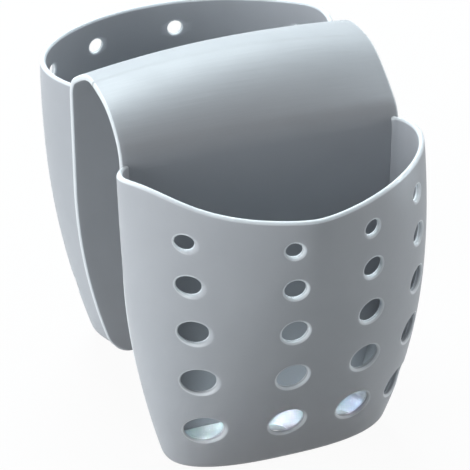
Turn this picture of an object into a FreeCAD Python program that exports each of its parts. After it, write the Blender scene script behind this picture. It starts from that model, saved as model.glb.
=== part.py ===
"""Two-pocket sink caddy: a soft saddle with a perforated pocket hanging on each side."""
import os
from collections import namedtuple
from math import acos, asin, copysign, cos, pi, radians, sin, sqrt

import FreeCAD
import Part
from FreeCAD import Vector

# Sheet that forms the saddle and the two back panels
panel_width = 112.0
wall = 2.4
divider_gap = 62.0
edge_round = 0.8

# Tongue outline of a back panel
taper_start = 85.0
taper_radius = 260.0
tongue_corner = 9.0

# Arch of the saddle
arch_spring = 126.5
arch_rise = 21.5
crown_camber = 5.0
shoulder_radius = 14.0
flex_gap = 0.3

# Pocket wall
rim_corner = 129.5
rim_front = 128.5
pocket_bulge = 15.0
pocket_depth = 59.5
half_width_taper = 20.2
foot_depth = 29.0
foot_squareness = 2.7
edge_band = 1.2
join_power = 2.5
foot_round = 6.0
floor = 3.0
rim_round = 0.8
rim_flat = 0.09

# Mouths of the two pockets, each seen from its own side: the front one is squeezed to a blunt point
front_squareness = 1.5
front_columns = (-0.635, -0.125, 0.33, 0.70)
rear_squareness = 2.05
rear_columns = (-0.80, -0.096, 0.413, 0.78)

# Hole pattern of a pocket wall
row_count = 5
top_row = 116.5
first_pitch = 17.4
pitch_growth = 3.2
first_hole = 6.2
hole_growth = 2.0
column_lean = 0.013
side_place = 0.68
side_draw = 25.0
side_draw_most = 60.0
side_clear = 8.5
hole_lip = 1.2

# Drain holes of a pocket floor
drain_count = 3
drain_pitch = 28.0
drain_hole = 11.0
drain_setback = 14.0

Mouth = namedtuple("Mouth", "squareness columns")
front = Mouth(front_squareness, front_columns)
rear = Mouth(rear_squareness, rear_columns)
half_width = panel_width / 2
pocket_half_width = half_width + pocket_bulge
back_face = divider_gap / 2 + wall
crown_radius = (back_face ** 2 + arch_rise ** 2 - 2 * back_face * shoulder_radius) / (
    2 * (arch_rise - shoulder_radius))
crown_centre = Vector(0, 0, arch_spring + arch_rise - crown_radius)
shoulder_centre = Vector(0, shoulder_radius - back_face, arch_spring)
flex_angle = asin((back_face - shoulder_radius) / (crown_radius - shoulder_radius))
flex_normal = Vector(0, -sin(flex_angle), cos(flex_angle))
flex_tangent = Vector(0, cos(flex_angle), sin(flex_angle))
flex_axis = crown_centre + flex_normal * (crown_radius - wall / 2)
across = Vector(1, 0, 0)
loft_top = rim_corner + 5
loft_back = wall + 2


def arc(start, middle, end):
    """Circular edge through three points."""
    return Part.Arc(start, middle, end).toShape()


def bar(edges, direction):
    """Solid swept from a closed flat outline."""
    return Part.Face(Part.Wire(Part.__sortEdges__(edges))).extrude(direction)


def around(centre, radius, angle):
    """Point on a circle in the side view, the angle measured from up towards the front."""
    return centre + Vector(0, -sin(angle), cos(angle)) * radius


def panel_half_width(z):
    """Half width of the tongue outline at a height, without its bottom corners."""
    drop = max(0.0, taper_start - z)
    return half_width - taper_radius + sqrt(taper_radius ** 2 - drop ** 2)


def tongue():
    """Prism of the tongue outline, wide enough in depth for any panel."""
    top = arch_spring + arch_rise
    foot = panel_half_width(0)
    middle = panel_half_width(taper_start / 2)

    def at(x, z):
        return Vector(x, -2 * back_face, z)

    edges = [
        Part.makeLine(at(-half_width, top), at(half_width, top)),
        Part.makeLine(at(half_width, top), at(half_width, taper_start)),
        arc(at(half_width, taper_start), at(middle, taper_start / 2), at(foot, 0)),
        Part.makeLine(at(foot, 0), at(-foot, 0)),
        arc(at(-foot, 0), at(-middle, taper_start / 2), at(-half_width, taper_start)),
        Part.makeLine(at(-half_width, taper_start), at(-half_width, top)),
    ]
    prism = bar(edges, Vector(0, 4 * back_face, 0))
    corners = [e for e in prism.Edges if e.BoundBox.ZMax < 0.01 and e.BoundBox.XLength < 0.01]
    return prism.makeFillet(tongue_corner, corners)


def panel_edges():
    """Side view of a back panel: plain tongue, shoulder and half-round flex edge."""
    inner = shoulder_radius - wall
    middle = (flex_angle + pi / 2) / 2
    outer_foot = Vector(0, -back_face, 0)
    inner_foot = Vector(0, wall - back_face, 0)
    outer_spring = around(shoulder_centre, shoulder_radius, pi / 2)
    inner_spring = around(shoulder_centre, inner, pi / 2)
    outer_end = around(shoulder_centre, shoulder_radius, flex_angle)
    inner_end = around(shoulder_centre, inner, flex_angle)
    return [
        Part.makeLine(outer_foot, outer_spring),
        arc(outer_spring, around(shoulder_centre, shoulder_radius, middle), outer_end),
        arc(outer_end, flex_axis + flex_tangent * (wall / 2), inner_end),
        arc(inner_end, around(shoulder_centre, inner, middle), inner_spring),
        Part.makeLine(inner_spring, inner_foot),
        Part.makeLine(inner_foot, outer_foot),
    ]


def soften(sheet):
    """Round the long edges of a sheet piece all along its outline."""
    outline = []
    for face in sheet.Faces:
        normal = face.normalAt(*face.Surface.parameter(face.CenterOfMass))
        if abs(normal.y) < 0.01 and (abs(normal.x) > 0.01 or face.CenterOfMass.z < wall):
            outline.append(face)
    edges = [e for face in outline for e in face.Edges if e.Length > 2 * wall]
    return sheet.makeFillet(edge_round, edges)


def back_panel():
    """Back panel of the front pocket."""
    sheet = bar(panel_edges(), across * panel_width)
    sheet.translate(across * -half_width)
    return soften(sheet.common(tongue()).Solids[0])


def crown_section(x, lift):
    """Side view of the crown at one place across the width, its ends on the flex lines."""
    corners = []
    for radius in (crown_radius, crown_radius - wall):
        front, top, rear = [around(crown_centre, radius, a) for a in (flex_angle, 0, -flex_angle)]
        corners.append((front, top + Vector(0, 0, lift), rear))
    outer, inner = corners
    wire = Part.Wire([
        arc(*outer),
        Part.makeLine(outer[2], inner[2]),
        arc(*reversed(inner)),
        Part.makeLine(inner[0], outer[0]),
    ])
    wire.translate(across * x)
    return wire


def saddle():
    """Crown of the arch between the two flex lines, cambered across its width."""
    places = ((-half_width, 0), (0, crown_camber), (half_width, 0))
    strap = soften(Part.makeLoft([crown_section(x, lift) for x, lift in places], True))
    for side in (-1, 1):
        centre = Vector(-half_width - 1, side * flex_axis.y, flex_axis.z)
        groove = Part.makeCylinder(wall / 2 + flex_gap, panel_width + 2, centre, across)
        strap = strap.cut(groove)
    return strap.Solids[0]


def wall_size(mouth, z):
    """Half width, depth and squareness of the pocket's outside at a height."""
    fall = 1 - z / rim_corner
    half = pocket_half_width - half_width_taper * fall ** 2
    depth = pocket_depth + (foot_depth - pocket_depth) * fall ** 2
    square = mouth.squareness + (foot_squareness - mouth.squareness) * fall
    return half, depth, square


def wall_point(mouth, z, angle, inset=0.0):
    """Point of the D section: a superellipse drawn in to the panel at its two ends."""
    half, depth, square = wall_size(mouth, z)
    join = panel_half_width(z) - edge_band
    c, s = cos(angle), sin(angle)
    x = (half - inset) * abs(c) ** (2 / square) - (half - join) * (1 - s) ** join_power
    y = (depth - inset) * abs(s) ** (2 / square)
    return Vector(x if c > 0 else -x, -back_face - y, z)


def section(mouth, z, inset=0.0):
    """Closed D section at a height, its curve run on smoothly behind the panel face."""
    points = [wall_point(mouth, z, pi * k / 16, inset) for k in range(17)]
    right = points[0] + (points[0] - points[1]) * (loft_back / (points[0].y - points[1].y))
    left = Vector(-right.x, right.y, z)
    curve = Part.BSplineCurve()
    curve.interpolate([right] + points + [left])
    return Part.Wire([curve.toShape(), Part.makeLine(left, right)])


def behind_panel():
    """Everything on the divider side of the panel's pocket face."""
    middle = (flex_angle + pi / 2) / 2
    spring = around(shoulder_centre, shoulder_radius, pi / 2)
    end = around(shoulder_centre, shoulder_radius, flex_angle)
    low = Vector(0, -back_face, -5)
    top = Vector(0, end.y, loft_top + 5)
    edges = [
        Part.makeLine(low, spring),
        arc(spring, around(shoulder_centre, shoulder_radius, middle), end),
        Part.makeLine(end, top),
        Part.makeLine(top, Vector(0, 5, loft_top + 5)),
        Part.makeLine(Vector(0, 5, loft_top + 5), Vector(0, 5, -5)),
        Part.makeLine(Vector(0, 5, -5), low),
    ]
    solid = bar(edges, across * 4 * half_width)
    solid.translate(across * -2 * half_width)
    return solid


def above_rim():
    """Everything above the rim, which sags in one arc towards the front."""
    reach = pocket_depth + 6
    sag = rim_corner - rim_front
    radius = (pocket_depth ** 2 + sag ** 2) / (2 * sag)

    def at(depth):
        rise = radius - sqrt(radius ** 2 - (pocket_depth - depth) ** 2)
        return Vector(0, -back_face - depth, rim_front + rise)

    back, end = at(-2 * loft_back), at(reach)
    lid = Vector(0, 0, 40)
    edges = [
        arc(back, at(pocket_depth / 2), end),
        Part.makeLine(end, end + lid),
        Part.makeLine(end + lid, back + lid),
        Part.makeLine(back + lid, back),
    ]
    solid = bar(edges, across * 4 * half_width)
    solid.translate(across * -2 * half_width)
    return solid


def hole_rows():
    """Height and diameter of each row of holes, both growing downwards."""
    height = top_row
    for row in range(row_count):
        yield height, first_hole + hole_growth * row
        height -= first_pitch + pitch_growth * row


def far_side(mouth, z, angle, reach, turn):
    """Distance from the panel to the far side of a side hole, found by small steps along the wall."""
    square = Vector(cos(turn), sin(turn), 0)
    centre = wall_point(mouth, z, angle)
    step = copysign(0.001, -cos(angle))
    while 0 < angle < pi and abs((wall_point(mouth, z, angle) - centre).dot(square)) < reach:
        angle += step
    return -back_face - wall_point(mouth, z, angle).y


def side_turn(mouth, z, angle, reach):
    """Turn of a side hole from straight ahead: the common one, or more to keep it clear of the panel."""
    for turn in range(int(side_draw), int(side_draw_most)):
        draw = copysign(radians(max(turn, side_draw)), cos(angle))
        if far_side(mouth, z, angle, reach, draw) >= side_clear:
            break
    return draw


def hole_bars(mouth):
    """Round bars that cut the holes: drawn straight from the front, the columns at the sides at an angle."""
    bars = []
    for row, (height, diameter) in enumerate(hole_rows()):
        square = wall_size(mouth, height)[2]
        reach = diameter + 1.5 * wall
        for column in mouth.columns:
            place = column + column_lean * row * (1 + column)
            angle = acos(abs(place) ** (square / 2))
            angle = angle if place > 0 else pi - angle
            centre = wall_point(mouth, height, angle)
            turn = side_turn(mouth, height, angle, diameter / 2 + hole_lip) if abs(column) > side_place else 0.0
            draw = Vector(sin(turn), -cos(turn), 0)
            bars.append(Part.makeCylinder(diameter / 2, 2 * reach, centre - draw * reach, draw))
    return bars


def hole_lips(solid):
    """Edges of the holes on the outside of the pocket."""
    bores = [f for f in solid.Faces if f.Surface.TypeId == "Part::GeomCylinder"]
    bores = [f for f in bores if abs(f.Surface.Axis.x) < 0.999]
    return [e for f in bores for e in f.Edges if e.Curve.TypeId == "Part::GeomBSplineCurve"]


def drains():
    """Round bars that cut the drain holes of the floor."""
    first = -drain_pitch * (drain_count - 1) / 2
    places = [Vector(first + drain_pitch * k, -back_face - drain_setback, -1) for k in range(drain_count)]
    return [Part.makeCylinder(drain_hole / 2, floor + 2, place) for place in places]


def slab(low, high, back):
    """Block over the whole width between two heights, from the front to a given depth."""
    reach = 4 * half_width
    return Part.makeBox(reach, reach, high - low, Vector(-reach / 2, back - reach, low))


def pocket(mouth):
    """Outer wall and floor of a pocket with its holes, seen from its own side."""
    heights = [loft_top * k / 6 for k in range(7)]
    outside = Part.makeLoft([section(mouth, z) for z in heights], True)
    outside = outside.cut(slab(-1, top_row, 3 * half_width).cut(slab(-2, loft_top, -back_face))).Solids[0]
    foot = [e for e in outside.Edges if e.BoundBox.ZMax < 0.01 and e.BoundBox.YLength > 1]
    outside = outside.makeFillet(foot_round, foot)
    outside = outside.cut(Part.makeCompound(hole_bars(mouth))).Solids[0]
    outside = outside.makeFillet(hole_lip, hole_lips(outside))
    inside = Part.makeLoft([section(mouth, z, wall) for z in heights], True).cut(slab(-1, floor, back_face))
    shell = outside.cut(inside).cut(Part.makeCompound(drains())).cut(above_rim())
    shell = shell.cut(behind_panel()).Solids[0]
    rim = [e for e in shell.Edges if e.BoundBox.ZMin > rim_front - 1 and e.Length > pocket_depth]
    least_wall = rim[0].distToShape(rim[1])[0]
    return shell.makeFillet(min(rim_round, (least_wall - rim_flat) / 2), rim).Solids[0]


def turned(solid):
    """The same piece turned half round, for the rear."""
    twin = solid.copy()
    twin.rotate(Vector(), Vector(0, 0, 1), 180)
    return twin


os.makedirs("parts", exist_ok=True)
saddle().exportStep("parts/saddle.step")
back_panel().exportStep("parts/front_panel.step")
turned(back_panel()).exportStep("parts/rear_panel.step")
pocket(front).exportStep("parts/front_pocket.step")
turned(pocket(rear)).exportStep("parts/rear_pocket.step")
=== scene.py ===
"""Saddle sink caddy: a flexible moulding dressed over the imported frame, with its stage."""
from math import asin, pi, radians
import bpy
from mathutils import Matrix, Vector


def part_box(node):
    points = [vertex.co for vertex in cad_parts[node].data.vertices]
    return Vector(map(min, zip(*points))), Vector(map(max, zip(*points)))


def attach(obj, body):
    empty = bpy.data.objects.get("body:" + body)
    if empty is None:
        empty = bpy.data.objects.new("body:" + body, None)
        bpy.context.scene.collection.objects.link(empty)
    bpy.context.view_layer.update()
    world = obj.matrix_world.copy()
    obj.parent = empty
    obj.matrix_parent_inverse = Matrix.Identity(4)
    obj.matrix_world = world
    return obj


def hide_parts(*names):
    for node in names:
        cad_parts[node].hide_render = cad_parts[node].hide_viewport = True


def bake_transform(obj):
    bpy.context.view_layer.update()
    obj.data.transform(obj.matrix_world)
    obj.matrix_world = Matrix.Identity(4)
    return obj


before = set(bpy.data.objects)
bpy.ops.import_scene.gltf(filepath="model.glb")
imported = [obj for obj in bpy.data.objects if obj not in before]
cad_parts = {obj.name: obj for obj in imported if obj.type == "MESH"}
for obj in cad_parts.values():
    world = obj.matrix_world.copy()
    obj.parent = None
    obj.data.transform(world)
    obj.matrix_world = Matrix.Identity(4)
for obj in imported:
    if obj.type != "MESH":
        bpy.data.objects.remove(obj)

from types import SimpleNamespace

import bmesh
import bpy
import numpy as np
from mathutils import Matrix, Vector

bl_info = {
    "name": "Saddle sink caddy",
    "version": (1, 0, 0),
    "blender": (4, 5, 0),
    "location": "3D View > Sidebar > Caddy",
    "description": "Builds a two-pocket sink caddy and its studio stage",
    "category": "Object",
}

MM = 0.001

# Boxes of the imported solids, which give the main planes
PANEL_LOW, PANEL_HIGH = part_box("front_panel")
POCKET_BOXES = {side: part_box(side + "_pocket") for side in ("front", "rear")}
SADDLE_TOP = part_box("saddle")[1].z
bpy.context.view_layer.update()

# Holes: rows, columns from -X to +X as shares of the half width, and drains
ROW_COUNT = 5
COLUMNS = {"front": (-0.635, -0.125, 0.33, 0.70), "rear": (-0.80, -0.096, 0.413, 0.78)}
DRAIN_COUNT = 3

# Where the wall faces further to the side than this, a side hole turns on by the gain times the excess
SIDE_FACING = radians(54)
SIDE_GAIN = 2.6

# Pocket wall: margin beside the outer columns, angle past each end, share of the wall that runs into the
# panel, and share of the spare wall kept above the top row
COLUMN_MARGIN = radians(20)
RUN_ON = radians(6)
RUN_IN = 0.8
TOP_SPARE = 0.6

# Newton steps for a hole's rim: their count, the step in angle, and the limits that hold them
NEWTON_STEPS = 12
NUDGE = 1e-4
LEAST_SLOPE = 0.08
WIDEST_REACH = radians(28)

# Mesh of the pockets
CELL = 14
END_CELL = 16
CELL_RINGS = 6
LIP_STEPS = 6
RIM_STEPS = 9
RIM_ROUND_STEPS = 13
FOOT_STEPS = 6
FOOT_ROUND_STEPS = 10
FLOOR_RINGS = 5
FLOOR_SIDE_STEPS = 9

# Mesh of the sheet, whose crown steps crowd towards the middle
CROWN_STEPS = 34
CROWN_CROWDING = 1.5
SHOULDER_STEPS = 17
PANEL_STEPS = 60
CORNER_STEPS = 22
EDGE_STEPS = 7
FACE_STEPS = 56

# Length over which the crown's lift fades, in half arcs of the crown
CAMBER_REACH = 1.5

# Meshes are merged, cleaned and shaded with these
MERGE_DISTANCE = 1e-6
LEAST_EDGE = 1e-7
SHARP_ANGLE = radians(50)

# Painted highlight, a paler colour on thin rounded edges: the attribute, the roundings with the full painted
# highlight and with none, and the width of the cut
EDGE_HIGHLIGHT_ATTRIBUTE = "thin_edge"
FULL_HIGHLIGHT_ROUND = 1.35 * MM
NO_HIGHLIGHT_ROUND = 2.25 * MM
CUT_WIDTH = 0.5 * MM

# Sockets of a Mix node that mixes colours
MIX_A, MIX_B, MIX_RESULT = 6, 7, 2

# Stage: half side of the floor, share of white that the camera sees on it, and light of the world
FLOOR_REACH = 6.0
FLOOR_WHITE = 0.95
WORLD_LIGHT = 0.17

# Lamps: place, aim and sides in metres, power in watts, colour, and spread where it is narrow
CADDY_MIDDLE = (0, 0, 70 * MM)
LAMPS = {
    "top_softbox": ((0.05, 0.69, 1.02), CADDY_MIDDLE, (0.55, 0.55), 20.5, (0.86, 0.97, 1.0)),
    "left_softbox": ((-1.4, -0.22, 0.45), CADDY_MIDDLE, (0.7, 0.7), 19.0, (0.95, 0.98, 1.0)),
    "right_softbox": ((1.4, -0.3, 0.35), CADDY_MIDDLE, (0.7, 0.7), 7.5, (0.95, 0.98, 1.0)),
    "pocket_softbox": ((6 * MM, -0.238, 1.0), (6 * MM, -42 * MM, 24 * MM), (0.07, 0.014), 0.019,
                       (0.85, 0.96, 1.0), radians(1.9)),
}

# Square frame of the camera, in pixels, and its sensor in millimetres
PHOTO_SIDE = 470
SENSOR_WIDTH = 36.0


def length(name, description, millimetres):
    """Length property, its default given in millimetres."""
    return bpy.props.FloatProperty(
        name=name, description=description, default=millimetres * MM, unit="LENGTH", precision=5)


def number(name, description, default):
    """Plain number property."""
    return bpy.props.FloatProperty(name=name, description=description, default=default)


def turn(name, description, degrees):
    """Angle property, its default given in degrees."""
    return bpy.props.FloatProperty(
        name=name, description=description, default=radians(degrees), subtype="ANGLE")


def tint(name, description, code):
    """Colour property, its default an sRGB hex value turned to linear."""
    return bpy.props.FloatVectorProperty(
        name=name, description=description, default=linear(code), size=3, subtype="COLOR", min=0, max=1)


def linear(code):
    """Linear colour of an sRGB hex value."""
    srgb = np.array([int(code[i:i + 2], 16) for i in (1, 3, 5)]) / 255
    return tuple(np.where(srgb <= 0.04045, srgb / 12.92, ((srgb + 0.055) / 1.055) ** 2.4))


class SheetSizes(bpy.types.PropertyGroup):
    """Sizes of the sheet that forms the saddle and the back panels."""

    wall: length("Wall", "Thickness of the moulding", 2.4)
    edge_round: length("Edge round", "Rounding of the sheet's edges", 0.9)
    arch_spring: length("Arch spring", "Height where the panels start to bend over", 126.5)
    shoulder_radius: length("Shoulder radius", "Outer radius of the bend between panel and crown", 14)
    crown_camber: length("Crown camber", "Rise of the crown's middle over its two edges", 5)
    crown_twist: length("Crown twist", "Lift of one end of each shoulder, and drop of the other", 2.0)
    taper_start: length("Taper start", "Height below which the panels narrow", 85)
    taper_radius: length("Taper radius", "Radius of the panels' narrowing sides", 260)
    tongue_corner: length("Tongue corner", "Radius of the panels' bottom corners", 9)


class PocketSizes(bpy.types.PropertyGroup):
    """Sizes of the pocket wall, its holes and its floor."""

    bulge: length("Bulge", "Half width of the wall's oval beyond the panel's edge", 15)
    half_width_taper: length("Width taper", "Loss of half width from rim to foot", 20.2)
    foot_depth: length("Foot depth", "Depth of the oval at the foot", 29)
    front_squareness: number("Front squareness", "Power of the front pocket's oval at its rim", 1.5)
    rear_squareness: number("Rear squareness", "Power of the rear pocket's oval at its rim", 2.05)
    foot_squareness: number("Foot squareness", "Power of both ovals at the foot", 2.7)
    edge_band: length("Edge band", "Strip of panel left outside the wall", 1.2)
    join_power: number("Join power", "How late the wall turns in to the panel", 2.5)
    rim_sag: length("Rim sag", "Drop of the rim from the panel to the front", 1)
    front_wave: length("Front wave", "Rise of the front rim at its crest", 4.9)
    rear_wave: length("Rear wave", "Rise of the rear rim at its crest", 3.3)
    front_crest: turn("Front crest", "Place of the front rim's crest", 144)
    rear_crest: turn("Rear crest", "Place of the rear rim's crest", 158)
    crest_width: turn("Crest width", "Half width of a crest", 20)
    foot_round: length("Foot round", "Rounding of the bottom edge", 6)
    floor: length("Floor", "Thickness of the floor", 3)
    top_row: length("Top row", "Height of the top row of holes", 116.5)
    first_pitch: length("First pitch", "Distance between the two top rows", 17.4)
    pitch_growth: length("Pitch growth", "Growth of the distance from row to row", 3.2)
    first_hole: length("First hole", "Diameter of the holes of the top row", 6.2)
    hole_growth: length("Hole growth", "Growth of the diameter from row to row", 2)
    hole_lip: length("Hole lip", "Rounding of the holes' outer edges", 1.2)
    column_lean: number("Column lean", "Shift of the columns from row to row, by share of half width", 0.013)
    side_place: number("Side place", "Share of the half width beyond which a column is turned", 0.68)
    side_draw: turn("Side draw", "Turn of the columns of holes at the sides", 25)
    drain_pitch: length("Drain pitch", "Distance between the drain holes", 28)
    drain_hole: length("Drain hole", "Diameter of the drain holes", 11)
    drain_setback: length("Drain setback", "Distance of the drain holes from the panel", 14)


class Finish(bpy.types.PropertyGroup):
    """Colours of the plastic, of the painted highlight on its thin edges, and of the stage."""

    plastic: tint("Plastic", "Grey-blue of the moulding", "#A9ACB1")
    plastic_cloud: tint("Plastic cloud", "Slightly darker clouds in the colour", "#A1A4A9")
    # Painted highlight: the pale colour laid on thin rounded edges, in place of the light that rims and hole
    # lips catch
    edge: tint("Thin edge", "Paler look of the plastic at thin rounded edges", "#CED2D6")
    floor: tint("Floor", "Pale studio floor", "#C4C4C4")


class View(bpy.types.PropertyGroup):
    """Viewpoint of the photograph."""

    azimuth: turn("Azimuth", "Turn of the camera to the left of the front", 19.8)
    elevation: turn("Elevation", "Height angle of the camera", 32)
    roll: turn("Roll", "Roll of the camera", -0.2)
    distance: length("Distance", "Distance of the camera from its aim", 1000)
    focal_pixels: number("Focal length", "Focal length in pixels of the square frame", 2495)
    aim: bpy.props.FloatVectorProperty(
        name="Aim", description="Sideways and upward offset of the aim, and its height",
        default=(0.8 * MM, 2.7 * MM, 65 * MM), unit="LENGTH", precision=5)


def shape(side="front"):
    """All sizes of one half in one place: the properties, with the main planes of the frame."""
    scene = bpy.context.scene
    size = SimpleNamespace()
    for group in (scene.caddy_sheet, scene.caddy_pocket):
        for key in group.__annotations__:
            setattr(size, key, getattr(group, key))
    low, high = POCKET_BOXES[side]
    size.half_width = PANEL_HIGH.x
    size.back_face = -PANEL_LOW.y
    size.depth = max(-low.y, high.y) - size.back_face
    size.rim = high.z
    size.half = size.half_width + size.bulge
    size.rise = SADDLE_TOP - size.crown_camber - size.arch_spring
    for key in ("squareness", "wave", "crest"):
        setattr(size, key, getattr(size, side + "_" + key))
    size.columns = COLUMNS[side]
    middles = column_angle(size, np.array(size.columns[::-1]), (ROW_COUNT - 1) / 2)
    size.edges = np.concatenate([
        [-RUN_ON, middles[0] - COLUMN_MARGIN], (middles[:-1] + middles[1:]) / 2,
        [middles[-1] + COLUMN_MARGIN, pi + RUN_ON]])
    return size


def column_angle(size, column, row):
    """Wall angle of a column of holes in a row: the columns lean over to +X from row to row."""
    return np.arccos(column + size.column_lean * row * (1 + column))


def panel_half_width(size, z):
    """Half width of the tongue: straight above, below the taper start an arc that curves in."""
    drop = np.maximum(0, size.taper_start - z)
    return size.half_width - size.taper_radius + np.sqrt(size.taper_radius ** 2 - drop ** 2)


def wall_size(size, z):
    """Half width, depth and power of the wall's oval.

    Both lengths change with the square of the drop below the rim, and the power changes in proportion to it.
    """
    fall = 1 - z / size.rim
    half = size.half - size.half_width_taper * fall ** 2
    depth = size.depth + (size.foot_depth - size.depth) * fall ** 2
    power = size.squareness + (size.foot_squareness - size.squareness) * fall
    return half, depth, power


def wall_surface(size, theta, z, inset):
    """Pocket wall at an angle, height and inset from the outside.

    Half of a superellipse from +X round the front to -X. The angle's cosine is the share of the half width.
    One less this share to the power, and its root by the power, gives the share of the depth. The wall is
    drawn in towards the panel's edge at both ends, and past either end it runs on straight into the panel.
    """
    half, depth, power = wall_size(size, z)
    join = panel_half_width(size, z) - size.edge_band
    inside = np.clip(theta, 0, pi)
    past = np.abs(theta - inside) * size.half
    share = np.cos(inside)
    rest = np.where(past > 0, 0, np.clip(1 - np.abs(share) ** power, 0, 1))
    x = (half - inset) * np.abs(share) - (half - join) * (1 - np.sqrt(rest)) ** size.join_power
    y = -size.back_face - (depth - inset) * rest ** (1 / power) + np.minimum(past, RUN_IN * size.wall)
    return np.stack([np.sign(share) * x, y, z + 0 * theta], -1)


def rim_height(size, theta):
    """Top of the wall: a shallow arc that sags to the front, with a bell-shaped crest on one flank."""
    out = -size.back_face - wall_surface(size, theta, np.full_like(theta, size.rim), 0.0)[..., 1]
    sag = size.rim_sag * (1 - (1 - out / size.depth) ** 2)
    crest = size.wave * np.exp(-((theta - size.crest) / size.crest_width) ** 2)
    return size.rim - sag + crest


def grid(points, closed=False):
    """Vertices and quads of a rows by columns array of points, joined round in its columns if closed."""
    rows, columns = points.shape[:2]
    index = np.arange(rows * columns).reshape(rows, columns)
    if closed:
        index = np.concatenate([index, index[:, :1]], axis=1)
    quads = np.stack([index[:-1, :-1], index[:-1, 1:], index[1:, 1:], index[1:, :-1]], -1)
    return points.reshape(-1, 3), quads.reshape(-1, 4)


def steps(start, end, count):
    """Evenly spaced values without the last one."""
    return np.linspace(start, end, count, endpoint=False)


def column_angles(size):
    """Angles of the wall's vertical grid lines, in the same steps as its cells."""
    counts = [END_CELL] + [CELL] * len(size.columns) + [END_CELL]
    spans = zip(size.edges[:-1], size.edges[1:], counts)
    parts = [steps(left, right, count) for left, right, count in spans]
    return np.append(np.concatenate(parts), size.edges[-1])


def rows(size):
    """Heights and radii of the hole rows from the top, both changing evenly."""
    row = np.arange(ROW_COUNT)
    height = size.top_row - size.first_pitch * row - size.pitch_growth * row * (row - 1) / 2
    return height, (size.first_hole + size.hole_growth * row) / 2


def row_edges(size):
    """Heights between the rows of cells, from the top, each with equal spare wall above and below it."""
    height, radius = rows(size)
    low, high = height - radius, height + radius
    between = (low[:-1] + high[1:]) / 2
    spare = (low[:-1] - high[1:]) / 2
    return np.concatenate([[high[0] + spare[0] * TOP_SPARE], between, [low[-1] - spare[-1]]])


def across(size, theta, z, inset, bearing):
    """Horizontal offset of a wall point square to the direction a hole is drawn in."""
    point = wall_surface(size, theta, z, inset)
    return point[..., 0] * np.cos(bearing) + point[..., 1] * np.sin(bearing)


def angle_across(size, target, z, inset, bearing, guess):
    """Wall angle at which the offset has a given value, by Newton steps on the whole array.

    The offset falls as the angle grows. A least slope and a widest reach keep the steps in hand where the
    wall turns along the direction of the hole.
    """
    theta = np.full_like(target, guess)
    for _ in range(NEWTON_STEPS):
        here = across(size, theta, z, inset, bearing)
        slope = (across(size, theta + NUDGE, z, inset, bearing) - here) / NUDGE
        slope = np.minimum(slope, -LEAST_SLOPE * size.half)
        theta = np.clip(theta - (here - target) / slope, guess - WIDEST_REACH, guess + WIDEST_REACH)
    return theta


def perimeter(left, right, low, high, count):
    """Points round a rectangle, in equal steps along each side."""
    first = np.concatenate([
        steps(left, right, count), np.full(count, right), steps(right, left, count), np.full(count, left)])
    second = np.concatenate([
        np.full(count, low), steps(low, high, count), np.full(count, high), steps(high, low, count)])
    return first, second


def lip(radius, rounding, thickness):
    """Radius and depth down a hole: a quarter round at the mouth, a bore and a small quarter round inside."""
    quarter = np.linspace(0, pi / 2, LIP_STEPS)
    small = rounding / 2
    around = np.concatenate([
        radius + rounding * (1 - np.sin(quarter)), radius + small * (1 - np.cos(quarter))])
    deep = np.concatenate([rounding * (1 - np.cos(quarter)), thickness - small * (1 - np.sin(quarter))])
    return around, deep


def hole_turn(size, column, row):
    """Turn of a hole: none in front, a fixed one at the sides, more where the wall would run along it."""
    if abs(column) <= size.side_place:
        return 0.0
    ends = column_angle(size, column, row) + np.array([-10, 10]) * NUDGE
    before, after = wall_surface(size, ends, np.full(2, rows(size)[0][row]), 0.0)
    along = np.abs(before - after)
    facing = np.arctan2(along[1], along[0])
    return np.sign(column) * (size.side_draw + SIDE_GAIN * max(0.0, facing - SIDE_FACING))


def hole_cell(size, left, right, low, high, column, row):
    """One cell of the wall with a round hole.

    Rings run from the cell's edge to the hole outside, down the bore, and back to the edge inside. The hole
    is a cylinder drawn along a horizontal direction, so its rim is a circle in z and the offset across.
    """
    theta, z = perimeter(left, right, low, high, CELL)
    bearing = hole_turn(size, column, row)
    guess = column_angle(size, column, row)
    height, radius = (values[row] for values in rows(size))
    centre = across(size, np.array(guess), height, 0.0, bearing)
    phi = np.arctan2(z - height, across(size, theta, z, 0.0, bearing) - centre)

    def circle(around, inset):
        target = centre + around * np.cos(phi)
        level = height + around * np.sin(phi)
        return angle_across(size, target, level, inset, bearing, guess), level

    around, deep = lip(radius, size.hole_lip, size.wall)
    rings = []
    outer = circle(around[0], 0.0)
    for share in steps(0, 1, CELL_RINGS):
        rings.append(wall_surface(
            size, theta + share * (outer[0] - theta), z + share * (outer[1] - z), 0.0))
    for ring, inset in zip(around, deep):
        rings.append(wall_surface(size, *circle(ring, inset), inset))
    inner = circle(around[-1], size.wall)
    for share in np.linspace(1, 0, CELL_RINGS + 1)[1:]:
        rings.append(wall_surface(
            size, theta + share * (inner[0] - theta), z + share * (inner[1] - z), size.wall))
    return grid(np.stack(rings), closed=True)


def plain_cells(size, left, right, low, high, count):
    """Outer and inner face of a cell without a hole."""
    theta, z = np.meshgrid(np.linspace(left, right, count + 1), np.linspace(low, high, CELL + 1))
    return [grid(wall_surface(size, theta, z, inset)) for inset in (0.0, size.wall)]


def rim_band(size, low):
    """Wall above the cells: up the outside, over a full round at the rim and down the inside."""
    theta = column_angles(size)
    top = rim_height(size, theta) - size.wall / 2
    up = np.linspace(0, 1, RIM_STEPS)
    over = np.linspace(0, pi, RIM_ROUND_STEPS)[1:-1]
    share = np.concatenate([up, np.ones(len(over)), up[::-1]])
    lift = np.concatenate([0 * up, np.sin(over), 0 * up]) * size.wall / 2
    inset = np.concatenate([0 * up, (1 - np.cos(over)) / 2, 0 * up + 1]) * size.wall
    z = low + share[:, None] * (top - low) + lift[:, None]
    return wall_surface(size, theta[None, :] + 0 * z, z, inset[:, None])


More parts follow.
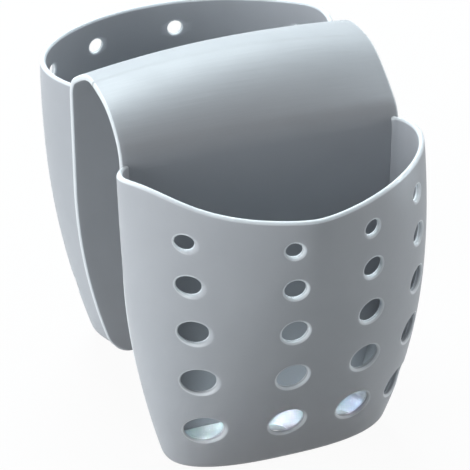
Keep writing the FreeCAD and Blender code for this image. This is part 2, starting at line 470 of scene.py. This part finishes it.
def foot_band(size, high):
    """Wall below the cells: outside, round into the underside, and inside, round into the floor."""
    theta = column_angles(size)
    down = steps(0, 1, FOOT_STEPS)
    quarter = np.linspace(0, pi / 2, FOOT_ROUND_STEPS)
    inner_round = size.foot_round / 3
    bands = []
    for rounding, base, skin in ((size.foot_round, 0.0, 0.0), (inner_round, size.floor, size.wall)):
        z = np.concatenate([
            high + down * (base + rounding - high), base + rounding * (1 - np.sin(quarter))])
        inset = np.concatenate([0 * down, rounding * (1 - np.cos(quarter))]) + skin
        bands.append(wall_surface(size, theta[None, :], z[:, None], inset[:, None]))
    return bands


def floor_cells(size, bands):
    """Floor with its drain holes.

    A cell is bounded by the wall's foot line, the panel and two straight lines between them. Rings run from
    its edge in to a drain, through it, and back out on top.
    """
    theta = column_angles(size)
    share = 1 - 2 * np.linspace(0, 1, len(theta))
    back = -size.back_face + RUN_IN * size.wall
    edges, lines = [], []
    for band in bands:
        edge = band[-1]
        line = np.stack([share * edge[0, 0], np.full(len(theta), back), edge[:, 2]], -1)
        edges.append(edge)
        lines.append(line)
    between = size.drain_pitch * (np.arange(1, DRAIN_COUNT) - DRAIN_COUNT / 2)
    breaks = [0, *np.abs(edges[0][:, 0] + between[:, None]).argmin(1), len(theta) - 1]
    around, deep = lip(size.drain_hole / 2, size.hole_lip / 2, size.floor)
    climb = np.linspace(0, 1, FLOOR_SIDE_STEPS)[1:-1, None]
    cells = []
    for drain, (first, last) in enumerate(zip(breaks[:-1], breaks[1:])):
        x = size.drain_pitch * ((DRAIN_COUNT - 1) / 2 - drain)
        centre = np.array([x, -size.back_face - size.drain_setback])
        loops = []
        for edge, line in zip(edges, lines):
            near, far = edge[first:last + 1], line[first:last + 1]
            out, back_in = far[-1] - near[-1], near[0] - far[0]
            loops.append(np.concatenate([near, near[-1] + climb * out, far[::-1], far[0] + climb * back_in]))
        offset = loops[0][:, :2] - centre
        phi = np.arctan2(offset[:, 1], offset[:, 0])

        def circle(ring, z):
            x, y = centre[0] + ring * np.cos(phi), centre[1] + ring * np.sin(phi)
            return np.stack([x, y, z + 0 * phi], -1)

        mouth, top = circle(around[0], 0.0), circle(around[-1], size.floor)
        rings = [loops[0] + part * (mouth - loops[0]) for part in steps(0, 1, FLOOR_RINGS)]
        rings += [circle(ring, z) for ring, z in zip(around, deep)]
        rings += [loops[1] + part * (top - loops[1]) for part in np.linspace(1, 0, FLOOR_RINGS)[1:]]
        cells.append(grid(np.stack(rings), closed=True))
    cells.append(grid(np.stack(lines)))
    return cells


def end_strips(columns):
    """Strips that close the wall's two ends, between the outer and the inner end line."""
    strips = []
    for end in (0, -1):
        outer = np.concatenate([part[:, end] for part in columns[0]])
        inner = np.concatenate([part[:, end] for part in columns[1]])
        strips.append(grid(np.stack([outer, inner])))
    return strips


def pocket_parts(size):
    """All surfaces of a pocket, seen from its own side, which together close round it."""
    levels = row_edges(size)
    sides = size.edges
    parts = []
    for row in range(ROW_COUNT):
        high, low = levels[row], levels[row + 1]
        for column, left, right in zip(size.columns[::-1], sides[1:], sides[2:]):
            parts.append(hole_cell(size, left, right, low, high, column, row))
        for end in (0, -2):
            parts += plain_cells(size, sides[end], sides[end + 1], low, high, END_CELL)
    rim = rim_band(size, levels[0])
    bands = foot_band(size, levels[-1])
    parts += [grid(rim), *[grid(band) for band in bands], *floor_cells(size, bands)]
    ladder = np.concatenate([
        np.linspace(levels[row + 1], levels[row], CELL + 1) for row in reversed(range(ROW_COUNT))])
    crest = len(rim) // 2
    rim_halves = rim[:crest + 1], rim[:crest - 1:-1]
    columns = []
    for band, half, skin in zip(bands, rim_halves, (0.0, size.wall)):
        middle = wall_surface(size, sides[None, [0, -1]], ladder[:, None], skin)
        columns.append([band[::-1], middle, half])
    parts += end_strips(columns)
    return parts


def arch_line(size):
    """Outer side line of the front half of the sheet, from the crown's middle to the foot.

    Two tangent arcs, crown and shoulder, then a straight panel. Gives the points in y and z, the outward
    normals, the length run so far, the half width, the inset that rounds the bottom edge, and the length of
    the crown's arc.
    """
    chord, rise, shoulder = size.back_face, size.rise, size.shoulder_radius
    crown = (chord ** 2 + rise ** 2 - 2 * chord * shoulder) / (2 * (rise - shoulder))
    flex = asin((chord - shoulder) / (crown - shoulder))
    centre = np.array([0, size.arch_spring + rise - crown])
    bend = np.array([shoulder - chord, size.arch_spring])
    crown_turn = flex * np.linspace(0, 1, CROWN_STEPS) ** CROWN_CROWDING
    shoulder_turn = np.linspace(flex, pi / 2, SHOULDER_STEPS)[1:]
    corner = size.tongue_corner * (1 - np.sin(np.linspace(0, pi / 2, CORNER_STEPS)[1:]))
    edge = size.edge_round
    fillet = edge * (1 - np.sin(np.linspace(0, pi / 2, EDGE_STEPS)))
    down = np.linspace(size.arch_spring, size.tongue_corner, PANEL_STEPS)[1:]
    straight = np.concatenate([down, corner[corner > edge], fillet, [0.0]])
    angle = np.concatenate([crown_turn, shoulder_turn, np.full(len(straight), pi / 2)])
    normal = np.stack([-np.sin(angle), np.cos(angle)], -1)
    points = np.concatenate([
        centre + crown * normal[:len(crown_turn)],
        bend + shoulder * normal[len(crown_turn):len(crown_turn) + len(shoulder_turn)],
        np.stack([np.full(len(straight), -chord), straight], -1)])
    run = np.concatenate([
        crown * crown_turn, crown * flex + shoulder * (shoulder_turn - flex),
        crown * flex + shoulder * (pi / 2 - flex) + size.arch_spring - straight])
    z = points[:, 1]
    into = np.maximum(0, size.tongue_corner - z)
    width = panel_half_width(size, z) - size.tongue_corner + np.sqrt(size.tongue_corner ** 2 - into ** 2)
    low = np.maximum(0, edge - z)
    inset = edge - np.sqrt(edge ** 2 - low ** 2)
    inset[-1] = size.wall / 2
    return points, normal, run, width, inset, crown * flex


def sheet_loop():
    """Unit section of the sheet with rounded edges.

    Gives the place across and the corner's offset across, and then the same through the wall.
    """
    face = np.linspace(-1, 1, FACE_STEPS)
    quarter = np.linspace(0, pi / 2, EDGE_STEPS)[1:-1]
    ones, none = np.ones_like(quarter), np.zeros_like(face)
    base_x = np.concatenate([face, ones, ones, face[::-1], -ones, -ones])
    sine, cosine = np.sin(quarter), np.cos(quarter)
    off_x = np.concatenate([none, sine, cosine, none, -sine, -cosine])
    base_d = np.concatenate([none, 0 * ones, ones, none + 1, ones, 0 * ones])
    off_d = np.concatenate([none, 1 - cosine, 1 + sine, none + 2, 1 + cosine, 1 - sine])
    return base_x, off_x, base_d, off_d


def sheet_parts(size):
    """Front half of the sheet: the rounded section carried along the arch line, with a lifted crown.

    The lift falls with the square of the place across and with the squared cosine of the length run from the
    crown. A twist, in proportion to the place across, is nothing on the middle line and on the flat panel.
    """
    points, normal, run, width, inset, flex_run = arch_line(size)
    points, normal = np.concatenate([points[:1], points]), np.concatenate([normal[:1], normal])
    run, width, inset = [np.concatenate([values[:1], values]) for values in (run, width, inset)]
    inset[0] = size.wall / 2
    base_x, off_x, base_d, off_d = sheet_loop()
    edge = np.minimum(size.edge_round, size.wall / 2 - inset)[:, None]
    x = base_x * (width[:, None] - size.edge_round) + off_x * edge
    deep = inset[:, None] + base_d * (size.wall - 2 * inset[:, None] - 2 * edge) + off_d * edge
    along = np.clip(run / (CAMBER_REACH * flex_run), 0, 1)[:, None]
    place = x / size.half_width
    camber = size.crown_camber * (1 - place ** 2) * np.cos(along * pi / 2) ** 2
    lift = camber - size.crown_twist * place * np.sin(along * pi) ** 2
    out = lift - deep
    y = points[:, :1] + normal[:, :1] * out
    z = points[:, 1:] + normal[:, 1:] * out
    return [grid(np.stack([x, y, z], -1), closed=True)]


def thin_edge(mesh):
    """Share of painted edge highlight at each vertex, from the mean outward bend of the mesh edges that meet
    there.

    The bend along a mesh edge is the change of normal along it divided by its length. On a rounding half of
    the edges bend, so the mean is one over twice its radius. The cut between the sheet's halves is left out.
    """
    points = np.empty(3 * len(mesh.vertices))
    mesh.vertices.foreach_get("co", points)
    normals = np.empty(3 * len(mesh.vertices))
    mesh.vertex_normals.foreach_get("vector", normals)
    pairs = np.empty(2 * len(mesh.edges), int)
    mesh.edges.foreach_get("vertices", pairs)
    points, normals, pairs = points.reshape(-1, 3), normals.reshape(-1, 3), pairs.reshape(-1, 2)
    step = points[pairs[:, 1]] - points[pairs[:, 0]]
    change = normals[pairs[:, 1]] - normals[pairs[:, 0]]
    bend = np.maximum((change * step).sum(1) / (step * step).sum(1), 0)
    at_cut = np.abs(points[pairs, 1]).min(1) < CUT_WIDTH
    bend = np.where(at_cut, 0, bend)
    total = np.bincount(pairs.ravel(), np.repeat(bend, 2), len(points))
    mean = total / np.bincount(pairs.ravel(), minlength=len(points))
    soft, tight = 1 / (2 * NO_HIGHLIGHT_ROUND), 1 / (2 * FULL_HIGHLIGHT_ROUND)
    return np.clip((mean - soft) / (tight - soft), 0, 1)


def make_piece(name, parts, half_turn=False):
    """Object from grids of points: doubles merged, normals outwards, shaded smooth but for sharp edges."""
    vertices, faces, start = [], [], 0
    for points, quads in parts:
        vertices.append(points)
        faces.append(quads + start)
        start += len(points)
    vertices, faces = np.concatenate(vertices), np.concatenate(faces)
    if half_turn:
        vertices = vertices * (-1, -1, 1)
    mesh = bpy.data.meshes.new(name)
    mesh.from_pydata(vertices, [], faces)
    shell = bmesh.new()
    shell.from_mesh(mesh)
    bmesh.ops.remove_doubles(shell, verts=shell.verts, dist=MERGE_DISTANCE)
    bmesh.ops.dissolve_degenerate(shell, edges=shell.edges, dist=LEAST_EDGE)
    bmesh.ops.recalc_face_normals(shell, faces=shell.faces)
    shell.to_mesh(mesh)
    shell.free()
    mesh.polygons.foreach_set("use_smooth", np.ones(len(mesh.polygons), bool))
    mesh.set_sharp_from_angle(angle=SHARP_ANGLE)
    # Painted highlight: share of pale colour at each vertex, full on tight roundings such as rims and hole
    # lips
    mesh.attributes.new(EDGE_HIGHLIGHT_ATTRIBUTE, "FLOAT", "POINT").data.foreach_set("value", thin_edge(mesh))
    piece = bpy.data.objects.new(name, mesh)
    bpy.context.scene.collection.objects.link(piece)
    mesh.materials.append(soft_plastic())
    return piece


def add(tree, kind, settings=None, slots=None, **inputs):
    """Node of a kind with its settings, each input given a value or linked from a socket.

    An input is named by a keyword, or by its number in slots where several share one name.
    """
    node = tree.nodes.new(kind)
    for key, value in (settings or {}).items():
        setattr(node, key, value)
    named = {key.replace("_", " "): value for key, value in inputs.items()}
    for key, value in {**(slots or {}), **named}.items():
        socket = node.inputs[key]
        if isinstance(value, bpy.types.NodeSocket):
            tree.links.new(value, socket)
        else:
            socket.default_value = value
    return node


def per_metre(millimetres):
    """Texture scale that gives features of a size in millimetres on Object coordinates in metres."""
    return 1 / (millimetres * MM)


def soft_plastic():
    """Moulded flexible polyethylene.

    A satin skin from a fine-etched mould: broad soft highlights, faint clouds in the colour, fine flow lines
    along the saddle, and a painted highlight, a paler colour on thin rounded edges in place of the light that
    rims and hole lips catch. The grain is drawn coarser than the real one so that it shows.
    """
    name = "moulded_soft_polyethylene"
    if name in bpy.data.materials:
        return bpy.data.materials[name]
    finish = bpy.context.scene.caddy_finish
    material = bpy.data.materials.new(name)
    material.use_nodes = True
    tree = material.node_tree
    tree.nodes.clear()
    place = add(tree, "ShaderNodeTexCoord").outputs["Object"]
    clouds = add(tree, "ShaderNodeTexNoise", Vector=place, Scale=per_metre(24), Detail=3.0, Roughness=0.5)
    tints = {MIX_A: (*finish.plastic, 1), MIX_B: (*finish.plastic_cloud, 1)}
    colour = add(tree, "ShaderNodeMix", {"data_type": "RGBA"}, tints, Factor=clouds.outputs["Fac"])
    # Painted highlight: the pale edge colour is mixed over the plastic by the share stored at each vertex
    edge = add(tree, "ShaderNodeAttribute", {"attribute_name": EDGE_HIGHLIGHT_ATTRIBUTE})
    tints = {MIX_A: colour.outputs[MIX_RESULT], MIX_B: (*finish.edge, 1)}
    highlighted_colour = add(tree, "ShaderNodeMix", {"data_type": "RGBA"}, tints, Factor=edge.outputs["Fac"])
    along = add(tree, "ShaderNodeMapping", Vector=place, Scale=(0.06, 1.0, 1.0))
    lines = add(
        tree, "ShaderNodeTexNoise", Vector=along.outputs["Vector"], Scale=per_metre(1.6), Detail=2.0)
    grain = add(tree, "ShaderNodeTexNoise", Vector=place, Scale=per_metre(0.9), Detail=2.0)
    sheen = add(tree, "ShaderNodeMapRange", Value=clouds.outputs["Fac"], To_Min=0.50, To_Max=0.62)
    fine = add(tree, "ShaderNodeBump", Strength=0.06, Distance=0.1 * MM, Height=grain.outputs["Fac"])
    relief = add(
        tree, "ShaderNodeBump", Strength=0.35, Distance=0.15 * MM, Height=lines.outputs["Fac"],
        Normal=fine.outputs["Normal"])
    shader = add(
        tree, "ShaderNodeBsdfPrincipled", Base_Color=highlighted_colour.outputs[MIX_RESULT],
        Roughness=sheen.outputs["Result"], IOR=1.51, Normal=relief.outputs["Normal"],
        Subsurface_Weight=0.6, Subsurface_Scale=3 * MM, Subsurface_Radius=(1.0, 1.0, 1.0))
    add(tree, "ShaderNodeOutputMaterial", Surface=shader.outputs["BSDF"])
    return material


class CADDY_OT_sheet(bpy.types.Operator):
    """Build the sheet of saddle and back panels in two halves that bend at the flex lines"""

    bl_idname = "caddy.sheet"
    bl_label = "Saddle and back panels"

    def execute(self, context):
        size = shape()
        parts = sheet_parts(size)
        for side, sign in (("front", 1), ("rear", -1)):
            piece = make_piece(side + "_sheet", parts, half_turn=sign < 0)
            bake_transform(piece)
            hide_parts("saddle", side + "_panel")
        return {"FINISHED"}


class CADDY_OT_pockets(bpy.types.Operator):
    """Build the two perforated pockets, each from its own side"""

    bl_idname = "caddy.pockets"
    bl_label = "Pockets"

    def execute(self, context):
        for side in ("front", "rear"):
            piece = make_piece(side + "_basket", pocket_parts(shape(side)), half_turn=side == "rear")
            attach(piece, side)
            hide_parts(side + "_pocket")
        return {"FINISHED"}


def area_light(name, place, aim, sides, power, colour, spread=pi):
    """Soft lamp at a place, turned to an aim; a small spread keeps its light in a beam."""
    lamp = bpy.data.lights.new(name, "AREA")
    lamp.shape = "RECTANGLE"
    lamp.size, lamp.size_y = sides
    lamp.energy = power
    lamp.color = colour
    lamp.spread = spread
    holder = bpy.data.objects.new(name, lamp)
    holder.location = place
    holder.rotation_euler = (Vector(aim) - Vector(place)).to_track_quat("-Z", "Y").to_euler()
    bpy.context.scene.collection.objects.link(holder)


def white_share(tree, share):
    """Factor that is the share for camera, glossy and transmission rays, and nothing for the others."""
    path = add(tree, "ShaderNodeLightPath")
    seen = path.outputs["Is Camera Ray"]
    for ray in ("Is Glossy Ray", "Is Transmission Ray"):
        either = {0: seen, 1: path.outputs[ray]}
        seen = add(tree, "ShaderNodeMath", {"operation": "MAXIMUM"}, either).outputs[0]
    return add(tree, "ShaderNodeMath", {"operation": "MULTIPLY"}, {0: seen, 1: share}).outputs[0]


class CADDY_OT_stage(bpy.types.Operator):
    """Build the pale floor, the soft lights, the world and the camera"""

    bl_idname = "caddy.stage"
    bl_label = "Stage"

    def execute(self, context):
        self.make_floor(context)
        self.make_lights(context)
        self.make_camera(context)
        context.scene.view_settings.view_transform = "Standard"
        return {"FINISHED"}

    def make_floor(self, context):
        """Matt floor that looks white from above, keeps the shadow, and is clear from below."""
        mesh = bpy.data.meshes.new("studio_floor")
        corners = np.array([(-1, -1, 0), (1, -1, 0), (1, 1, 0), (-1, 1, 0)]) * FLOOR_REACH
        mesh.from_pydata(corners, [], [(0, 1, 2, 3)])
        floor = bpy.data.objects.new("studio_floor", mesh)
        context.scene.collection.objects.link(floor)
        material = bpy.data.materials.new("pale_studio_floor")
        material.use_nodes = True
        tree = material.node_tree
        tree.nodes.clear()
        matt = add(tree, "ShaderNodeBsdfDiffuse", Color=(*context.scene.caddy_finish.floor, 1))
        white = add(tree, "ShaderNodeEmission", Strength=1.0)
        clear = add(tree, "ShaderNodeBsdfTransparent")
        below = add(tree, "ShaderNodeNewGeometry").outputs["Backfacing"]
        mixed = add(tree, "ShaderNodeMixShader", slots={
            0: white_share(tree, FLOOR_WHITE), 1: matt.outputs[0], 2: white.outputs[0]})
        one_sided = add(tree, "ShaderNodeMixShader", slots={
            0: below, 1: mixed.outputs[0], 2: clear.outputs[0]})
        add(tree, "ShaderNodeOutputMaterial", Surface=one_sided.outputs[0])
        mesh.materials.append(material)

    def make_lights(self, context):
        """Lamps, and a world that gives little light but looks white."""
        for name, values in LAMPS.items():
            area_light(name, *values)
        world = bpy.data.worlds.new("studio_world")
        world.use_nodes = True
        tree = world.node_tree
        tree.nodes.clear()
        soft = add(tree, "ShaderNodeBackground", Color=(1, 1, 1, 1), Strength=WORLD_LIGHT)
        white = add(tree, "ShaderNodeBackground", Color=(1, 1, 1, 1), Strength=1.0)
        mixed = add(tree, "ShaderNodeMixShader", slots={
            0: white_share(tree, 1.0), 1: soft.outputs[0], 2: white.outputs[0]})
        add(tree, "ShaderNodeOutputWorld", Surface=mixed.outputs[0])
        context.scene.world = world

    def make_camera(self, context):
        """Camera that looks forward by azimuth and elevation, its right and up axes turned by the roll."""
        view = context.scene.caddy_view
        a, e, r = view.azimuth, view.elevation, view.roll
        forward = Vector((np.sin(a) * np.cos(e), np.cos(a) * np.cos(e), -np.sin(e)))
        level = Vector((np.cos(a), -np.sin(a), 0))
        upright = level.cross(forward)
        right = level * np.cos(r) + upright * np.sin(r)
        up = upright * np.cos(r) - level * np.sin(r)
        sideways, upward, height = view.aim
        eye = Vector((0, 0, height)) + right * sideways + up * upward - forward * view.distance
        lens = bpy.data.cameras.new("photo_camera")
        lens.sensor_width = SENSOR_WIDTH
        lens.lens = view.focal_pixels / PHOTO_SIDE * SENSOR_WIDTH
        camera = bpy.data.objects.new("photo_camera", lens)
        turned = Matrix((right, up, -forward)).transposed().to_4x4()
        camera.matrix_world = Matrix.Translation(eye) @ turned
        context.scene.collection.objects.link(camera)
        context.scene.camera = camera


class CADDY_PT_panel(bpy.types.Panel):
    """Sidebar panel with the caddy's sizes and operators"""

    bl_idname = "CADDY_PT_panel"
    bl_label = "Saddle sink caddy"
    bl_space_type = "VIEW_3D"
    bl_region_type = "UI"
    bl_category = "Caddy"

    def draw(self, context):
        for operator in OPERATORS:
            self.layout.operator(operator.bl_idname)
        for key in GROUPS:
            group = getattr(context.scene, key)
            box = self.layout.box()
            for name in group.__annotations__:
                box.prop(group, name)


GROUPS = {
    "caddy_sheet": SheetSizes, "caddy_pocket": PocketSizes, "caddy_finish": Finish, "caddy_view": View}
OPERATORS = (CADDY_OT_sheet, CADDY_OT_pockets, CADDY_OT_stage)


def register():
    """Register the classes and hang the settings on the scene."""
    for item in (*GROUPS.values(), *OPERATORS, CADDY_PT_panel):
        bpy.utils.register_class(item)
    for key, group in GROUPS.items():
        setattr(bpy.types.Scene, key, bpy.props.PointerProperty(type=group))


def unregister():
    """Take the settings and classes away again."""
    for key in GROUPS:
        delattr(bpy.types.Scene, key)
    for item in reversed((*GROUPS.values(), *OPERATORS, CADDY_PT_panel)):
        bpy.utils.unregister_class(item)


def main():
    """Register the settings, then build the caddy and its stage."""
    register()
    bpy.ops.caddy.sheet()
    bpy.ops.caddy.pockets()
    bpy.ops.caddy.stage()


if __name__ == "__main__":
    main()
